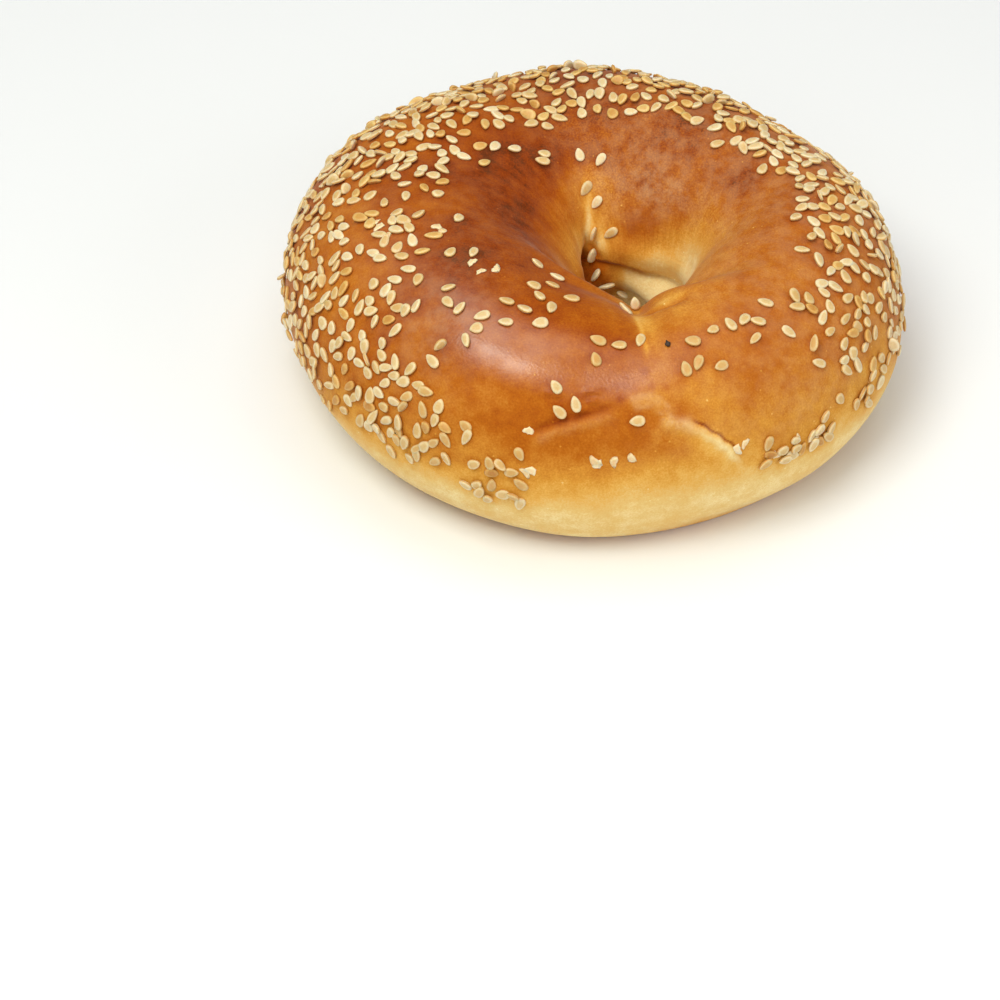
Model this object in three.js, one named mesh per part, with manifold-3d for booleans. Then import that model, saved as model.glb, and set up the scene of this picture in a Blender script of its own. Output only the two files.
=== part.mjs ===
// A sesame bagel: one baked ring of dough with an off-centre hole, a folded throat, a seam
// where the dough's ends meet, and sesame seeds baked onto the crust.
// Millimetres, +Z up. The origin is the middle of the flat base.
// "around" is the angle about Z, in degrees from +X. "across" is the angle about the ring's
// own section: 0 at the outer waist, 90 on top, 180 in the throat.

import * as THREE from "three";
import { ConvexGeometry } from "three/addons/geometries/ConvexGeometry.js";
import { ParametricGeometry } from "three/addons/geometries/ParametricGeometry.js";
import { mergeVertices } from "three/addons/utils/BufferGeometryUtils.js";
import Module from "manifold-3d";

// The ring seen from above
const RING_MIDDLE = { x: -1.1, y: -0.6 };
const MEAN_RADIUS = 57.6;
const OVAL = { share: 0.048, at: 152 };
const THREE_LOBES = { share: 0.0165, at: 7 };

// The hole, off to one side, with three soft corners
const HOLE = { x: 9, y: -3, halfWidth: 10, halfLength: 11.3, corner: 0.12, cornerAt: 270 };

// The ring seen from the side
const HEIGHT = 41.5;
const WAIST_HEIGHT = 17;
const UNDER_DEPTH = 21;
const HIGH_AND_LOW = [
  { rise: 1.5, at: 200, width: 45 },
  { rise: 0.7, at: 88, width: 40 },
  { rise: -1.2, at: 114, width: 16 },
  { rise: -2.8, at: 275, width: 15 },
  { rise: -0.8, at: 305, width: 25 },
];
const INNER_SLOPE = { flatter: 0.3, at: 170, width: 48 };
const LUMPS = [
  { rise: 0.35, around: 3, across: 1, turn: 40 },
  { rise: 0.25, around: 5, across: 2, turn: 200 },
  { rise: 0.2, around: 8, across: 3, turn: 110 },
];
const LUMPS_END = [110, 160];
const BASE_FADE = 16;

// Folds in the dough, each along a line of [around, across]. A fold that widens does so along its line.
const FAR_FOLD = {
  line: [[146, 184], [134, 170], [125, 152], [115, 134], [107, 114]],
  depth: 3.6,
  width: 2,
  widening: 4,
  lap: 1.8,
};
const LEFT_RIDGE = { line: [[180, 108], [196, 122], [214, 135], [236, 146], [262, 152]], rise: 1.7 };
const RIGHT_RIDGE = { line: [[286, 148], [296, 132], [306, 118], [320, 105], [333, 94]], rise: 1.3 };
const RIDGE_WIDTH = 2.6;
const NEAR_NOTCH = {
  line: [[272, 165], [274, 140], [278, 112], [282, 88]],
  depth: 2.2,
  width: 1.8,
  widening: 1.6,
};
const SEAM = {
  line: [[256, 22], [261, 31], [268, 43], [275, 48], [282, 48], [286, 40], [293, 31], [297, 20], [301, 4]],
  groove: { depth: 1, at: -0.8, width: 1.8 },
  lip: { rise: 0.9, at: 2.2, width: 2.2 },
  shallowShare: 0.35,
  opens: [0.4, 0.55],
  fade: 0.17,
};
const THROAT_LIP = {
  at: 60,
  width: 78,
  roll: { rise: 0.9, across: 170, width: 8 },
  recess: { depth: 1.6, across: 192, width: 12 },
};

// A sesame seed: how far it stands out of the crust and reaches into it, and how much its tip narrows
const SEED = { length: 3.9, width: 2.1, ridge: 1.8, proud: 0.75, rooted: 0.4, taper: 0.25 };
const SEED_COUNT = 205;
const SEED_SPACING = 3.7;
const SEED_ACROSS = [-30, 120];

// The seeds' band: where it starts and ends across the ring, and how thick the seeds lie
const SEED_BAND = [
  { at: 0, inner: 90, outer: 0, share: 0.7 },
  { at: 53, inner: 104, outer: -5, share: 0.85 },
  { at: 100, inner: 104, outer: -10, share: 1 },
  { at: 144, inner: 108, outer: -10, share: 0.85 },
  { at: 182, inner: 104, outer: -5, share: 0.55 },
  { at: 221, inner: 94, outer: 5, share: 0.5 },
  { at: 250, inner: 72, outer: 22, share: 0.14 },
  { at: 262, inner: 60, outer: 30, share: 0 },
  { at: 318, inner: 70, outer: 0, share: 0.05 },
  { at: 328, inner: 76, outer: 0, share: 0.4 },
  { at: 340, inner: 88, outer: 0, share: 0.6 },
];
const BAND_EDGE = 14;

// Stray seeds between the band and the hole, and a cluster at the edge of the pale base
const SEED_GROUPS = [
  { around: [103, 132], across: [117, 124], count: 4 },
  { around: [110, 117], across: [135, 157], count: 2 },
  { around: [221, 251], across: [95, 122], count: 6 },
  { around: [234, 250], across: [73, 87], count: 4 },
  { around: [267, 279], across: [72, 84], count: 4 },
  { around: [290, 311], across: [57, 76], count: 8 },
  { around: [261, 266], across: [43, 54], count: 3 },
  { around: [303, 319], across: [1, 14], count: 8 },
];
const GROUP_TRIES = 60;
const DRAW_SEED = 20;

// Facets
const COLUMNS = 78;
const ROWS = 36;
const FINER_AROUND = [{ more: 0.8, at: 280, width: 28 }, { more: 0.9, at: 126, width: 20 }];
const FINER_ACROSS = [{ more: 0.6, at: 35, width: 25 }, { more: 0.4, at: 170, width: 30 }];
const PROBE = 0.2;

const { degToRad, radToDeg, euclideanModulo, clamp, lerp, smoothstep } = THREE.MathUtils;
const BASE_EDGE = radToDeg(Math.asin(WAIST_HEIGHT / UNDER_DEPTH));
const FIRST_ACROSS = -BASE_EDGE;
const LAST_ACROSS = 180 + BASE_EDGE;

// A smooth hump of height 1 at one place, with angles taken round the full circle
function hump(angle, at, width) {
  const off = euclideanModulo(angle - at + 180, 360) - 180;
  return Math.exp(-((off / width) ** 2));
}

function ridge(distance, width) {
  return Math.exp(-((distance / width) ** 2));
}

function topHeight(around) {
  return HIGH_AND_LOW.reduce((sum, part) => sum + part.rise * hump(around, part.at, part.width), HEIGHT);
}

// A point of the plain ring, before its folds
function plainPoint(around, across) {
  const turn = degToRad(around);
  const oval = OVAL.share * Math.cos(2 * degToRad(around - OVAL.at));
  const lobes = THREE_LOBES.share * Math.cos(3 * degToRad(around - THREE_LOBES.at));
  const rim = MEAN_RADIUS * (1 + oval + lobes);
  const corner = 1 + HOLE.corner * Math.cos(3 * degToRad(around - HOLE.cornerAt));
  const outer = new THREE.Vector2(rim * Math.cos(turn), rim * Math.sin(turn));
  const inner = new THREE.Vector2(
    HOLE.x + HOLE.halfWidth * corner * Math.cos(turn),
    HOLE.y + HOLE.halfLength * corner * Math.sin(turn),
  );
  const out = Math.cos(degToRad(across));
  const up = Math.sin(degToRad(across));
  const slope = 1 + (out < 0 ? INNER_SLOPE.flatter * hump(around, INNER_SLOPE.at, INNER_SLOPE.width) : 0);
  const rise = up > 0 ? (topHeight(around) - WAIST_HEIGHT) * up ** slope : UNDER_DEPTH * up;
  const plan = inner.lerp(outer, (1 + out) / 2);
  return new THREE.Vector3(plan.x, plan.y, Math.max(0, WAIST_HEIGHT + rise));
}

// The outward normal of the plain ring, as long as the surface there is stretched
function plainNormal(around, across) {
  const alongRing = plainPoint(around + PROBE, across).sub(plainPoint(around - PROBE, across));
  const acrossRing = plainPoint(around, across + PROBE).sub(plainPoint(around, across - PROBE));
  return alongRing.cross(acrossRing);
}

// How far a point is from a fold's line, on which side, and how far along the fold it lies
function nearestOnLine(point, normal, corners) {
  const lengths = corners.slice(1).map((corner, i) => corner.distanceTo(corners[i]));
  const whole = lengths.reduce((sum, length) => sum + length, 0);
  let best = { distance: Infinity };
  let before = 0;
  lengths.forEach((length, i) => {
    const piece = new THREE.Line3(corners[i], corners[i + 1]);
    const share = piece.closestPointToPointParameter(point, true);
    const offset = point.clone().sub(piece.at(share, new THREE.Vector3()));
    const distance = offset.length();
    if (distance < best.distance) {
      const side = piece.delta(new THREE.Vector3()).cross(offset).dot(normal) < 0 ? -1 : 1;
      best = { distance, side: side * distance, along: (before + share * length) / whole };
    }
    before += length;
  });
  return best;
}

const onPlainRing = (line) => line.map(([around, across]) => plainPoint(around, across));
const LEFT_RIDGE_LINE = onPlainRing(LEFT_RIDGE.line);
const RIGHT_RIDGE_LINE = onPlainRing(RIGHT_RIDGE.line);
const FAR_FOLD_LINE = onPlainRing(FAR_FOLD.line);
const NEAR_NOTCH_LINE = onPlainRing(NEAR_NOTCH.line);
const SEAM_LINE = onPlainRing(SEAM.line);

// The left end of the dough laps over the far one, with a deep crease between them
function farFold(point, normal) {
  const { distance, side, along } = nearestOnLine(point, normal, FAR_FOLD_LINE);
  const width = FAR_FOLD.width + FAR_FOLD.widening * along;
  const crease = FAR_FOLD.depth * (1 - along) ** 0.9 * ridge(distance, width);
  return FAR_FOLD.lap * (1 - along) * ridge(side - 2.4 * width, 1.7 * width) - crease;
}

// A step in the crust: raised on the near side of its line, sunk on the side of the hole
function stepDown(side) {
  return ridge(side + RIDGE_WIDTH, RIDGE_WIDTH) - ridge(side - RIDGE_WIDTH, RIDGE_WIDTH);
}

// The near rim of the throat, left and right of its notch, stands up in front of the hole
function throatRidges(point, normal) {
  const left = nearestOnLine(point, normal, LEFT_RIDGE_LINE);
  const right = nearestOnLine(point, normal, RIGHT_RIDGE_LINE);
  const leftRise = LEFT_RIDGE.rise * smoothstep(left.along, 0, 0.7);
  const rightRise = RIGHT_RIDGE.rise * (1 - right.along) ** 0.8;
  return leftRise * stepDown(left.side) + rightRise * stepDown(right.side);
}

function nearNotch(point, normal) {
  const { distance, along } = nearestOnLine(point, normal, NEAR_NOTCH_LINE);
  const width = NEAR_NOTCH.width + NEAR_NOTCH.widening * along;
  return -NEAR_NOTCH.depth * (1 - along) ** 0.8 * ridge(distance, width);
}

// A groove with a raised lip on its lower side: a shallow wrinkle that opens into a crack
function seam(point, normal) {
  const { side, along } = nearestOnLine(point, normal, SEAM_LINE);
  const { groove, lip } = SEAM;
  const opening = lerp(SEAM.shallowShare, 1, smoothstep(along, ...SEAM.opens));
  const fade = clamp(Math.min(along, 1 - along) / SEAM.fade, 0, 1);
  const lipRise = lip.rise * ridge(side - lip.at, lip.width);
  return opening * fade * (lipRise - groove.depth * ridge(side - groove.at, groove.width));
}

// A roll of crust round the throat, over a recessed wall
function throatLip(around, across) {
  const { at, width, roll, recess } = THROAT_LIP;
  const rise = roll.rise * ridge(across - roll.across, roll.width);
  const sink = recess.depth * ridge(across - recess.across, recess.width);
  return hump(around, at, width) * (rise - sink);
}

// Soft unevenness, which dies out towards the throat
function lumps(around, across) {
  const waves = LUMPS.map(({ rise, around: turns, across: rows, turn }) => {
    return rise * Math.cos(degToRad(turns * around + rows * across + turn));
  });
  return (1 - smoothstep(across, ...LUMPS_END)) * waves.reduce((sum, wave) => sum + wave, 0);
}

// A point of the finished crust. The folds fade out at the edges of the flat base.
function crustPoint(around, across) {
  const point = plainPoint(around, across);
  const normal = plainNormal(around, across).normalize();
  const fade = smoothstep(Math.min(across - FIRST_ACROSS, LAST_ACROSS - across), 0, BASE_FADE);
  const relief =
    farFold(point, normal) +
    throatRidges(point, normal) +
    nearNotch(point, normal) +
    seam(point, normal) +
    throatLip(around, across) +
    lumps(around, across);
  return point.addScaledVector(normal, fade * relief);
}

// Angles from first to last, closer together where the folds need it
function spacedAngles(first, last, count, finer) {
  const SAMPLES = 2000;
  const weights = Array.from({ length: SAMPLES }, (_, i) => {
    const angle = lerp(first, last, (i + 0.5) / SAMPLES);
    return finer.reduce((sum, { more, at, width }) => sum + more * hump(angle, at, width), 1);
  });
  const whole = weights.reduce((sum, weight) => sum + weight, 0);
  const angles = [first];
  let passed = 0;
  weights.forEach((weight, i) => {
    passed += weight;
    while (angles.length < count && passed >= (whole * angles.length) / count) {
      angles.push(lerp(first, last, (i + 1) / SAMPLES));
    }
  });
  return [...angles, last];
}

function bareGeometry(geometry) {
  geometry.deleteAttribute("normal");
  geometry.deleteAttribute("uv");
  return mergeVertices(geometry, 1e-3);
}

// The ring of dough. The last row closes the flat base.
function ringGeometry() {
  const around = spacedAngles(0, 360, COLUMNS, FINER_AROUND);
  const across = spacedAngles(FIRST_ACROSS, LAST_ACROSS, ROWS - 1, FINER_ACROSS);
  const crust = (s, t, target) => {
    const column = Math.round(s * COLUMNS) % COLUMNS;
    const row = Math.round(t * ROWS) % ROWS;
    target.copy(crustPoint(around[column], across[row]));
  };
  return bareGeometry(new ParametricGeometry(crust, COLUMNS, ROWS));
}

// A six-sided drop with a ridge along its back, narrower at its tip and rooted in the crust
function seedGeometry() {
  const atRoot = (SEED.proud + SEED.rooted) / SEED.proud;
  const outline = Array.from({ length: 6 }, (_, i) => {
    const turn = (i * Math.PI) / 3;
    const halfWidth = (SEED.width / 2) * (1 - SEED.taper * Math.cos(turn));
    const side = atRoot * halfWidth * Math.sin(turn);
    return new THREE.Vector3(side, (SEED.length / 2) * Math.cos(turn), -SEED.rooted);
  });
  const back = [-1, 1].map((end) => new THREE.Vector3(0, (end * SEED.ridge) / 2, SEED.proud));
  return bareGeometry(new ConvexGeometry([...outline, ...back]));
}

// Repeatable draws between 0 and 1
function seededDraws(start) {
  let state = start;
  return () => {
    state = (state + 0x6d2b79f5) | 0;
    let mixed = Math.imul(state ^ (state >>> 15), 1 | state);
    mixed = (mixed + Math.imul(mixed ^ (mixed >>> 7), 61 | mixed)) ^ mixed;
    return ((mixed ^ (mixed >>> 14)) >>> 0) / 4294967296;
  };
}

// How thick the seeds lie at a place, from 0 to 1
function seedShare(around, across) {
  const next = SEED_BAND.findIndex(({ at }) => at > around);
  const to = SEED_BAND[next === -1 ? 0 : next];
  const from = SEED_BAND.at(next - 1);
  const between = (around - from.at) / euclideanModulo(to.at - from.at, 360);
  const inner = lerp(from.inner, to.inner, between);
  const outer = lerp(from.outer, to.outer, between);
  const share = lerp(from.share, to.share, between);
  const inside = 1 - smoothstep(across, inner - BAND_EDGE / 2, inner + BAND_EDGE / 2);
  return share * inside * smoothstep(across, outer - BAND_EDGE, outer + BAND_EDGE);
}

// Where each seed lies: flat on the crust, turned any way, none on top of another.
// The groups come first, then the band fills up.
function seedPlaces() {
  const draw = seededDraws(DRAW_SEED);
  const widest = plainNormal(OVAL.at, 0).length();
  const places = [];
  const lay = (around, across, turn) => {
    const point = crustPoint(around, across);
    if (places.some((place) => place.point.distanceTo(point) < SEED_SPACING)) {
      return;
    }
    const side = crustPoint(around + PROBE, across).sub(point).normalize();
    const normal = side.clone().cross(crustPoint(around, across + PROBE).sub(point)).normalize();
    places.push({ point, side, normal, turn });
  };
  for (const { around, across, count } of SEED_GROUPS) {
    const full = places.length + count;
    for (let tries = 0; tries < GROUP_TRIES && places.length < full; tries += 1) {
      lay(lerp(...around, draw()), lerp(...across, draw()), 2 * Math.PI * draw());
    }
  }
  while (places.length < SEED_COUNT) {
    const around = 360 * draw();
    const across = lerp(...SEED_ACROSS, draw());
    const turn = 2 * Math.PI * draw();
    const stretch = plainNormal(around, across).length() / widest;
    if (draw() < stretch * seedShare(around, across)) {
      lay(around, across, turn);
    }
  }
  return places;
}

function seedMatrix({ point, side, normal, turn }) {
  const along = side.clone().applyAxisAngle(normal, turn);
  const matrix = new THREE.Matrix4().makeBasis(along.clone().cross(normal), along, normal);
  return matrix.setPosition(point);
}

const wasm = await Module();
wasm.setup();

function solidOf(geometry) {
  return new wasm.Manifold(
    new wasm.Mesh({
      numProp: 3,
      vertProperties: new Float32Array(geometry.attributes.position.array),
      triVerts: new Uint32Array(geometry.index.array),
    }),
  );
}

function geometryOf(solid) {
  const { vertProperties, triVerts } = solid.getMesh();
  const geometry = new THREE.BufferGeometry();
  geometry.setAttribute("position", new THREE.BufferAttribute(vertProperties, 3));
  geometry.setIndex(new THREE.BufferAttribute(triVerts, 1));
  geometry.computeVertexNormals();
  return geometry;
}

function bagelGeometry() {
  const seed = seedGeometry();
  const ring = solidOf(ringGeometry());
  const seeded = seedPlaces().reduce((solid, place) => {
    return solid.add(solidOf(seed.clone().applyMatrix4(seedMatrix(place))));
  }, ring);
  return geometryOf(seeded);
}

const crust = new THREE.MeshStandardMaterial({ color: 0xc07a34, roughness: 0.45, metalness: 0 });
const bagel = new THREE.Mesh(bagelGeometry(), crust);
bagel.name = "bagel";
bagel.position.set(RING_MIDDLE.x, RING_MIDDLE.y, 0);

const part = new THREE.Group();
part.add(bagel);

export default part;
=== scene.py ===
"""A sesame bagel: a glossy browned crust over a folded ring of dough, with sesame seeds baked on.

Lengths of the form are in millimetres and angles in degrees until a mesh is made, which is in metres.
"around" is the angle about Z from +X. "across" is the angle about the ring's own section: 0 at the
outer waist, 90 on top, 180 in the throat.
"""

import math

import bpy
import numpy as np
from mathutils import Matrix, Vector
from mathutils.kdtree import KDTree


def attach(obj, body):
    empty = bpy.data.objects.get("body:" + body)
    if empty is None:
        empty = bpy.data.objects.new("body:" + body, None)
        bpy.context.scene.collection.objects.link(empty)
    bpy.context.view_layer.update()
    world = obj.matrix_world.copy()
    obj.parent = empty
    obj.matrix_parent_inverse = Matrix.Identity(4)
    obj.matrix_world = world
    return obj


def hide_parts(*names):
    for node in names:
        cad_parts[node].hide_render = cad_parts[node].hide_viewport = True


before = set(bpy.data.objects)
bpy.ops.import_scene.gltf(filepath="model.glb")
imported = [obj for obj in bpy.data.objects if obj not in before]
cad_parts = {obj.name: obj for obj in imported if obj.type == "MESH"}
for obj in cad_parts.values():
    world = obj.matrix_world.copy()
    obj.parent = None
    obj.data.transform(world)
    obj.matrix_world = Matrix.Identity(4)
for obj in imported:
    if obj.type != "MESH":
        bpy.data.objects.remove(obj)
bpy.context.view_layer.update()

MM = 0.001

# The ring seen from above
RING_MIDDLE = np.array([-1.1, -0.6, 0.0])
MEAN_RADIUS = 57.6
OVAL = {"share": 0.048, "at": 152}
THREE_LOBES = {"share": 0.0165, "at": 7}
HOLE = {"x": 9, "y": -3, "half_width": 10, "half_length": 11.3, "corner": 0.12, "corner_at": 270}

# The ring seen from the side
HEIGHT = 41.5
WAIST_HEIGHT = 17
UNDER_DEPTH = 21
HIGH_AND_LOW = (
    {"rise": 1.5, "at": 200, "width": 45},
    {"rise": 0.7, "at": 88, "width": 40},
    {"rise": -1.2, "at": 114, "width": 16},
    {"rise": -2.8, "at": 275, "width": 15},
    {"rise": -0.8, "at": 305, "width": 25},
)
INNER_SLOPE = {"flatter": 0.3, "at": 170, "width": 48}
LUMPS = (
    {"rise": 0.35, "around": 3, "across": 1, "turn": 40},
    {"rise": 0.25, "around": 5, "across": 2, "turn": 200},
    {"rise": 0.2, "around": 8, "across": 3, "turn": 110},
)
LUMPS_END = (110, 160)
BASE_FADE = 16

# Folds in the dough, each along a line of (around, across)
FAR_FOLD = {
    "line": ((146, 184), (134, 170), (125, 152), (115, 134), (107, 114)),
    "depth": 3.6, "fades": 0.9, "width": 2, "widening": 4,
    "lap": {"rise": 1.8, "at": 2.4, "width": 1.7},
}
CLEFT = {
    "depth": 3.6, "ends": (0.1, 0.5), "width": 0.6,
    "mouth": {"wider": 1.2, "ends": (0, 0.42)},
    "waver": 0.5, "waves": (19, 7),
}
CREVICE = {
    "line": ((126.8, 160), (125.6, 167.7), (122.5, 171.5)),
    "rise": -0.9, "width": 0.4, "ends": 0.3,
}
LEFT_RIDGE = {
    "line": ((180, 108), (196, 122), (214, 135), (236, 146), (262, 152)),
    "rise": 1.7, "grows": (0.25, 0.8),
}
RIGHT_RIDGE = {
    "line": ((286, 148), (296, 132), (306, 118), (320, 105), (333, 94)),
    "rise": 1.3, "fades": 0.8,
}
RIDGE_WIDTH = 2.6
NEAR_NOTCH = {
    "line": ((272, 165), (274, 140), (278, 112), (282, 88)),
    "depth": 2.2, "fades": 0.8, "width": 1.6, "widening": 1.5,
}
NOTCH_TEAR = {
    "line": ((274.8, 124), (276, 112), (278, 100), (279.5, 90), (280.5, 80), (281.5, 70)),
    "widens": (0.2, 0.5), "ends": 0.2,
}
RIGHT_FOLD = {
    "line": ((276.8, 119), (283.5, 112), (288.8, 108), (294, 106.5), (301, 105)),
    "rise": -0.5, "width": 0.8, "ends": 0.3,
}
NEAR_ROLL = {
    "line": ((222, 62), (236, 61), (249, 60), (258, 57), (268, 53)),
    "rise": 0.55, "width": 4.5, "ends": 0.35,
}
WRINKLE = {
    "line": ((258, 25), (263, 33), (267, 37.5), (271.5, 42), (276, 45)),
    "strip": {"rise": 0.2, "width": 1.0},
    "groove": {"depth": 0.45, "above": 1.7, "width": 0.7},
    "ends": 0.2,
}
SMALL_WRINKLES = (
    ((264, 43.5), (267, 45.5), (270, 46.3), (272.5, 49.5)),
    ((258, 50.5), (261, 50.5), (264, 52)),
    ((266, 54), (269, 56), (272, 56)),
    ((268, 50), (271, 51.5)),
)
SMALL_WRINKLE = {"rise": 0.24, "width": 0.5, "groove": 0.2, "below": 1.0, "ends": 0.4}
CRACK = {
    "line": ((283.8, 45), (287.5, 38.5), (291, 33.5), (294, 28), (297, 19.5), (301, 2)),
    "reach": 6, "taper": (0.75, 1.9),
    "torn": {"starts": (0, 0.1), "ends": (0.62, 1)},
    "open": {"starts": (0.22, 0.36), "ends": (0.66, 0.84)},
    "groove": {"depth": 0.6, "at": 0.3, "width": 0.32},
    "lip": {"rise": 0.45, "at": -1.1, "width": 1.6},
    "waver": 0.14, "waves": ((17, 0), (43, 1)),
}
FLAP = {
    "line": ((276.5, 48.5), (279.5, 50.5), (282.5, 50), (284.3, 44.5), (285.5, 40)),
    "rise": 0.22, "width": 1.8, "ends": 0.2,
}
THROAT_LIP = {
    "at": 72, "width": 72,
    "edge": {"around": (40, 75, 120), "across": (178, 177, 170.5)},
    "roll": {"rise": 0.9, "above": 6, "width": 6},
    "recess": {"depth": 2.6, "starts": (0, 5), "ends": (24, 46), "around": (40, 90), "share": (0.35, 1)},
    "swell": {"at": 50, "width": 46, "rise": 5.6, "below": 15, "spread": 9},
}

# The crust's mesh: number of columns up to each place around, and of rows up to each place across
COLUMN_KNOTS = {"counts": (0, 60, 190, 520), "angles": (250, 278, 304, 610)}
ROW_KNOTS = {"counts": (0, 16, 84, 136, 169, 181), "angles": (-55, -2, 62, 163, 205, 235)}
BASE_ROWS = 8
PROBE = 0.2


def ridge(distance, width):
    return np.exp(-((distance / width) ** 2))


def hump(angle, part):
    """A smooth hump of height 1 at a part's place, with angles taken round the full circle."""
    return ridge((angle - part["at"] + 180) % 360 - 180, part["width"])


def smoothstep(value, low, high):
    share = np.clip((value - low) / (high - low), 0, 1)
    return share * share * (3 - 2 * share)


def between(value, starts, ends):
    """1 in the middle of a stretch. It fades in where the stretch starts and out where it ends."""
    return smoothstep(value, *starts) * (1 - smoothstep(value, *ends))


def ends_fade(along, share):
    """Fades a fold out at both its ends."""
    return smoothstep(np.minimum(along, 1 - along), 0, share)


def round_ring(around, table, row):
    """A value that changes round the ring, from one row of a table."""
    return np.interp(around, table["around"], table[row], period=360)


def cos_deg(angle):
    return np.cos(np.radians(angle))


def sin_deg(angle):
    return np.sin(np.radians(angle))


BASE_EDGE = math.degrees(math.asin(WAIST_HEIGHT / UNDER_DEPTH))
FIRST_ACROSS = -BASE_EDGE
LAST_ACROSS = 180 + BASE_EDGE


def top_height(around):
    return HEIGHT + sum(part["rise"] * hump(around, part) for part in HIGH_AND_LOW)


def plain_point(around, across):
    """Points of the ring before its folds."""
    oval = OVAL["share"] * cos_deg(2 * (around - OVAL["at"]))
    lobes = THREE_LOBES["share"] * cos_deg(3 * (around - THREE_LOBES["at"]))
    rim = MEAN_RADIUS * (1 + oval + lobes)
    corner = 1 + HOLE["corner"] * cos_deg(3 * (around - HOLE["corner_at"]))
    outer = np.stack([rim * cos_deg(around), rim * sin_deg(around)], -1)
    inner_x = HOLE["x"] + HOLE["half_width"] * corner * cos_deg(around)
    inner_y = HOLE["y"] + HOLE["half_length"] * corner * sin_deg(around)
    inner = np.stack([inner_x, inner_y], -1)
    out = cos_deg(across)
    up = sin_deg(across)
    flatter = INNER_SLOPE["flatter"] * hump(around, INNER_SLOPE)
    slope = 1 + np.where(out < 0, flatter, 0)
    above = (top_height(around) - WAIST_HEIGHT) * np.abs(up) ** slope
    rise = np.where(up > 0, above, UNDER_DEPTH * up)
    plan = inner + (outer - inner) * ((1 + out) / 2)[..., None]
    height = np.maximum(0, WAIST_HEIGHT + rise)
    return np.concatenate([plan, height[..., None]], -1)


def unit(vectors):
    return vectors / (np.linalg.norm(vectors, axis=-1, keepdims=True) + 1e-12)


def plain_normal(around, across):
    along_ring = plain_point(around + PROBE, across) - plain_point(around - PROBE, across)
    across_ring = plain_point(around, across + PROBE) - plain_point(around, across - PROBE)
    return np.cross(along_ring, across_ring)


def plain_ring(around, across):
    """Points of the ring before its folds, and the outward normals there."""
    return plain_point(around, across), unit(plain_normal(around, across))


def from_base(across):
    """0 at both edges of the flat base, 1 well above it."""
    return smoothstep(np.minimum(across - FIRST_ACROSS, LAST_ACROSS - across), 0, BASE_FADE)


def nearest_on_line(ring, line):
    """How far the ring's points are from a fold's line, on which side, and how far along it."""
    points, normals = ring
    corners = plain_point(*np.array(line, float).T)
    lengths = np.linalg.norm(np.diff(corners, axis=0), axis=1)
    distance = np.full(points.shape[:-1], np.inf)
    side = np.zeros(points.shape[:-1])
    along = np.zeros(points.shape[:-1])
    passed = 0.0
    for start, end, length in zip(corners[:-1], corners[1:], lengths):
        run = (end - start) / length
        share = np.clip((points - start) @ run / length, 0, 1)
        offset = points - start - share[..., None] * (end - start)
        gap = np.linalg.norm(offset, axis=-1)
        turn = np.sign(np.einsum("...k,...k", np.cross(run, offset), normals))
        nearer = gap < distance
        distance = np.where(nearer, gap, distance)
        side = np.where(nearer, gap * np.where(turn < 0, -1, 1), side)
        along = np.where(nearer, (passed + share * length) / lengths.sum(), along)
        passed += length
    return distance, side, along


def far_fold(ring):
    """The left end of the dough laps over the far one, with a deep crease between them."""
    distance, side, along = nearest_on_line(ring, FAR_FOLD["line"])
    width = FAR_FOLD["width"] + FAR_FOLD["widening"] * along
    crease = FAR_FOLD["depth"] * (1 - along) ** FAR_FOLD["fades"] * ridge(distance, width)
    lap, mouth = FAR_FOLD["lap"], CLEFT["mouth"]
    lapped = lap["rise"] * (1 - along) * ridge(side - lap["at"] * width, lap["width"] * width)
    cleft_width = CLEFT["width"] + mouth["wider"] * (1 - smoothstep(along, *mouth["ends"]))
    first_wave, second_wave = CLEFT["waves"]
    wavering = side + CLEFT["waver"] * np.sin(first_wave * along) * np.cos(second_wave * along)
    cleft = CLEFT["depth"] * (1 - smoothstep(along, *CLEFT["ends"])) * ridge(wavering, cleft_width)
    return lapped - crease - cleft


def beside(fold, ring):
    """How near points are to the line of a fold, from 0 to 1."""
    distance, _, along = nearest_on_line(ring, fold["line"])
    return ridge(distance, fold["width"]) * ends_fade(along, fold["ends"])


def short_folds(ring):
    """The crevice beside the cleft, the crease under the leaf right of the notch, the soft near roll
    that carries the highlight, and the torn flap above the crack."""
    folds = (CREVICE, RIGHT_FOLD, NEAR_ROLL, FLAP)
    return sum(fold["rise"] * beside(fold, ring) for fold in folds)


def step_down(side):
    """A step in the crust: raised on the near side of its line, sunk on the side of the hole."""
    return ridge(side + RIDGE_WIDTH, RIDGE_WIDTH) - ridge(side - RIDGE_WIDTH, RIDGE_WIDTH)


def throat_ridges(ring):
    """The near rim of the throat, left and right of its notch, stands up in front of the hole."""
    _, left, along = nearest_on_line(ring, LEFT_RIDGE["line"])
    left_rise = LEFT_RIDGE["rise"] * smoothstep(along, *LEFT_RIDGE["grows"])
    _, right, along = nearest_on_line(ring, RIGHT_RIDGE["line"])
    right_rise = RIGHT_RIDGE["rise"] * (1 - along) ** RIGHT_RIDGE["fades"]
    return left_rise * step_down(left) + right_rise * step_down(right)


def near_notch(ring):
    distance, _, along = nearest_on_line(ring, NEAR_NOTCH["line"])
    width = NEAR_NOTCH["width"] + NEAR_NOTCH["widening"] * along
    return -NEAR_NOTCH["depth"] * (1 - along) ** NEAR_NOTCH["fades"] * ridge(distance, width)


def beside_wrinkle(ring):
    """How near points are to the raised strip on the near side, and to the groove above it, from 0 to 1."""
    _, side, along = nearest_on_line(ring, WRINKLE["line"])
    strip, groove = WRINKLE["strip"], WRINKLE["groove"]
    fade = ends_fade(along, WRINKLE["ends"])
    return fade * ridge(side, strip["width"]), fade * ridge(side - groove["above"], groove["width"])


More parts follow.
